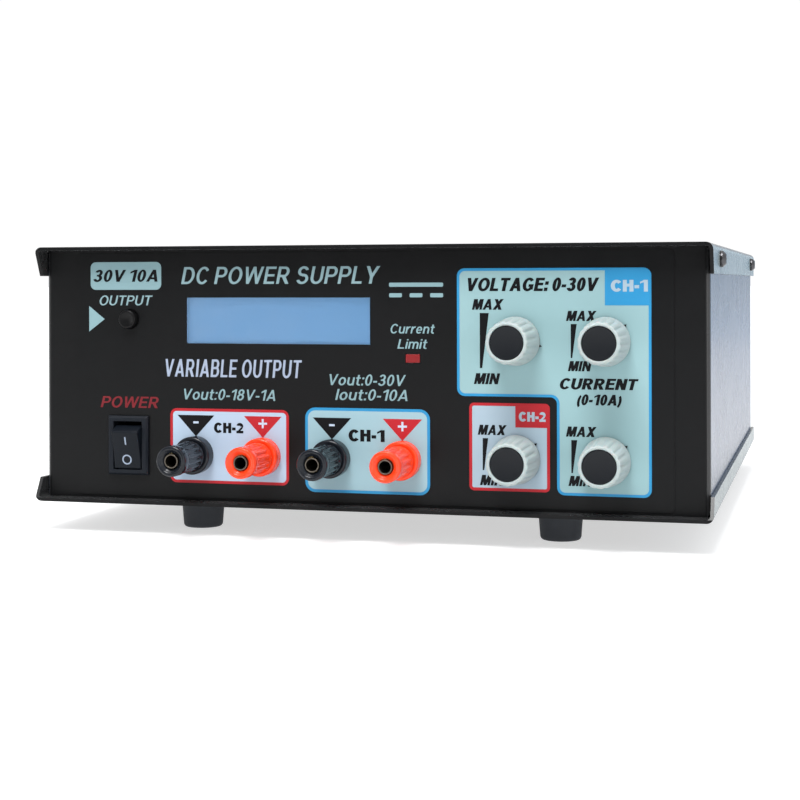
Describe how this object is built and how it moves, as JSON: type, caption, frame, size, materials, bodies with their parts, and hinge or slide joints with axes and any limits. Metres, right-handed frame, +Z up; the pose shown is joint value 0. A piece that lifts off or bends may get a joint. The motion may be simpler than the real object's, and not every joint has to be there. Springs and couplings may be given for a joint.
{
  "type": "bench power supply",
  "caption": "Bench power supply in a folded steel case with knobs, binding posts, a rocker switch, an output button and a display; mains inlet, fuse and fan behind.",
  "frame": {"origin": "centre of the overall footprint, level with the undersides of the feet", "axes": "+X to the right as seen from the front, front panel facing -Y, +Z up"},
  "size_m": [0.244, 0.2982, 0.1018],
  "materials": {
    "case_paint": "semi-gloss black powder coat",
    "label": "satin printed overlay",
    "foot_rubber": "matte",
    "dark_screws": "black oxide",
    "knob_white": "satin moulded",
    "knob_black": "satin moulded",
    "shaft_metal": "turned",
    "pot_metal": "plated",
    "nut_metal": "nickel plated",
    "post_black": "gloss moulded",
    "post_red": "gloss moulded",
    "post_brass": "nickel-plated brass",
    "switch_black": "satin moulded",
    "button_black": "satin moulded",
    "lamp_red": "diffused",
    "window_clear": "clear acrylic",
    "lcd_blue": "backlit",
    "board_green": "solder mask",
    "part_plastic": "moulded",
    "guard_wire": "plated wire",
    "toroid": "tape-wound",
    "heatsink_metal": "anodised",
    "capacitor_sleeve": "printed sleeve"
  },
  "bodies": {
    "case": {"top_cover": "case_paint", "bottom_cover": "case_paint", "front_shell": "case_paint", "rear_panel": "case_paint", "front_label": "label", "feet": "foot_rubber", "case_screws": "dark_screws", "pot_bodies": "pot_metal", "pot_nuts": "nut_metal", "black_post_collars": "post_black", "red_post_collars": "post_red", "post_studs": "post_brass", "switch_housing": "switch_black", "switch_terminals": "post_brass", "output_button_body": "part_plastic", "limit_lamp": "lamp_red", "display_window": "window_clear", "lcd_glass": "lcd_blue", "lcd_board": "board_green", "control_board": "board_green", "inlet_housing": "part_plastic", "inlet_pins": "nut_metal", "fuse_holder": "part_plastic", "fan_frame": "part_plastic", "fan_guard": "guard_wire", "fan_screws": "dark_screws", "transformer": "toroid", "transformer_clamp": "nut_metal", "heatsink": "heatsink_metal", "power_semiconductors": "part_plastic", "main_board": "board_green", "filter_capacitors": "capacitor_sleeve"},
    "voltage_knob": {"voltage_knob": "knob_white", "voltage_knob_cap": "knob_black", "voltage_pointer": "knob_black", "voltage_shaft": "shaft_metal"},
    "current_coarse_knob": {"current_coarse_knob": "knob_white", "current_coarse_knob_cap": "knob_black", "current_coarse_pointer": "knob_black", "current_coarse_shaft": "shaft_metal"},
    "current_fine_knob": {"current_fine_knob": "knob_white", "current_fine_knob_cap": "knob_black", "current_fine_pointer": "knob_black", "current_fine_shaft": "shaft_metal"},
    "ch2_voltage_knob": {"ch2_voltage_knob": "knob_white", "ch2_voltage_knob_cap": "knob_black", "ch2_voltage_pointer": "knob_black", "ch2_voltage_shaft": "shaft_metal"},
    "ch2_negative_insert": {"ch2_negative_insert": "post_brass"},
    "ch2_negative_cap": {"ch2_negative_cap": "post_black"},
    "ch2_positive_insert": {"ch2_positive_insert": "post_brass"},
    "ch2_positive_cap": {"ch2_positive_cap": "post_red"},
    "ch1_negative_insert": {"ch1_negative_insert": "post_brass"},
    "ch1_negative_cap": {"ch1_negative_cap": "post_black"},
    "ch1_positive_insert": {"ch1_positive_insert": "post_brass"},
    "ch1_positive_cap": {"ch1_positive_cap": "post_red"},
    "switch_rocker": {"switch_rocker": "switch_black"},
    "output_button": {"output_button": "button_black"},
    "fan_rotor": {"fan_rotor": "part_plastic"},
    "fuse_cap": {"fuse_cap": "part_plastic"}
  },
  "joints": [
    {"name": "voltage_turn", "type": "hinge", "parent": "case", "child": "voltage_knob", "pos_m": [0.0543, -0.13335, 0.0691], "axis": [0, 1, 0], "range_deg": [-251, 49]},
    {"name": "current_coarse_turn", "type": "hinge", "parent": "case", "child": "current_coarse_knob", "pos_m": [0.0845, -0.13335, 0.0691], "axis": [0, 1, 0], "range_deg": [-200, 100]},
    {"name": "current_fine_turn", "type": "hinge", "parent": "case", "child": "current_fine_knob", "pos_m": [0.0845, -0.13335, 0.0294], "axis": [0, 1, 0], "range_deg": [-203, 97]},
    {"name": "ch2_voltage_turn", "type": "hinge", "parent": "case", "child": "ch2_voltage_knob", "pos_m": [0.0543, -0.13335, 0.0294], "axis": [0, 1, 0], "range_deg": [-202, 98]},
    {"name": "ch2_negative_travel", "type": "slide", "parent": "case", "child": "ch2_negative_insert", "axis": [0, -1, 0], "range_m": [0, 0.004]},
    {"name": "ch2_negative_unscrew", "type": "hinge", "parent": "ch2_negative_insert", "child": "ch2_negative_cap", "pos_m": [-0.0607, -0.13835, 0.0282], "axis": [0, -1, 0], "range_deg": [-45, 1620]},
    {"name": "ch2_positive_travel", "type": "slide", "parent": "case", "child": "ch2_positive_insert", "axis": [0, -1, 0], "range_m": [0, 0.004]},
    {"name": "ch2_positive_unscrew", "type": "hinge", "parent": "ch2_positive_insert", "child": "ch2_positive_cap", "pos_m": [-0.0357, -0.13835, 0.0282], "axis": [0, -1, 0], "range_deg": [-45, 1620]},
    {"name": "ch1_negative_travel", "type": "slide", "parent": "case", "child": "ch1_negative_insert", "axis": [0, -1, 0], "range_m": [0, 0.004]},
    {"name": "ch1_negative_unscrew", "type": "hinge", "parent": "ch1_negative_insert", "child": "ch1_negative_cap", "pos_m": [-0.0104, -0.13835, 0.0282], "axis": [0, -1, 0], "range_deg": [-45, 1620]},
    {"name": "ch1_positive_travel", "type": "slide", "parent": "case", "child": "ch1_positive_insert", "axis": [0, -1, 0], "range_m": [0, 0.004]},
    {"name": "ch1_positive_unscrew", "type": "hinge", "parent": "ch1_positive_insert", "child": "ch1_positive_cap", "pos_m": [0.0148, -0.13835, 0.0282], "axis": [0, -1, 0], "range_deg": [-45, 1620]},
    {"name": "power_rock", "type": "hinge", "parent": "case", "child": "switch_rocker", "pos_m": [-0.0862, -0.12205, 0.031], "axis": [-1, 0, 0], "range_deg": [0, 26]},
    {"name": "output_press", "type": "slide", "parent": "case", "child": "output_button", "axis": [0, 1, 0], "range_m": [0, 0.002], "stiffness_N_per_m": 500, "springref_m": -0.002},
    {"name": "fan_spin", "type": "hinge", "parent": "case", "child": "fan_rotor", "pos_m": [0.062, 0.12395, 0.0558], "axis": [0, 1, 0], "continuous": true},
    {"name": "fuse_cap_turn", "type": "hinge", "parent": "case", "child": "fuse_cap", "pos_m": [-0.048, 0.13715, 0.0378], "axis": [0, 1, 0], "range_deg": [0, 60]}
  ],
  "couplings": [
    {"joint": "ch2_negative_unscrew", "follows": "ch2_negative_travel", "rad_per_m": 6283.2},
    {"joint": "ch2_positive_unscrew", "follows": "ch2_positive_travel", "rad_per_m": 6283.2},
    {"joint": "ch1_negative_unscrew", "follows": "ch1_negative_travel", "rad_per_m": 6283.2},
    {"joint": "ch1_positive_unscrew", "follows": "ch1_positive_travel", "rad_per_m": 6283.2}
  ]
}
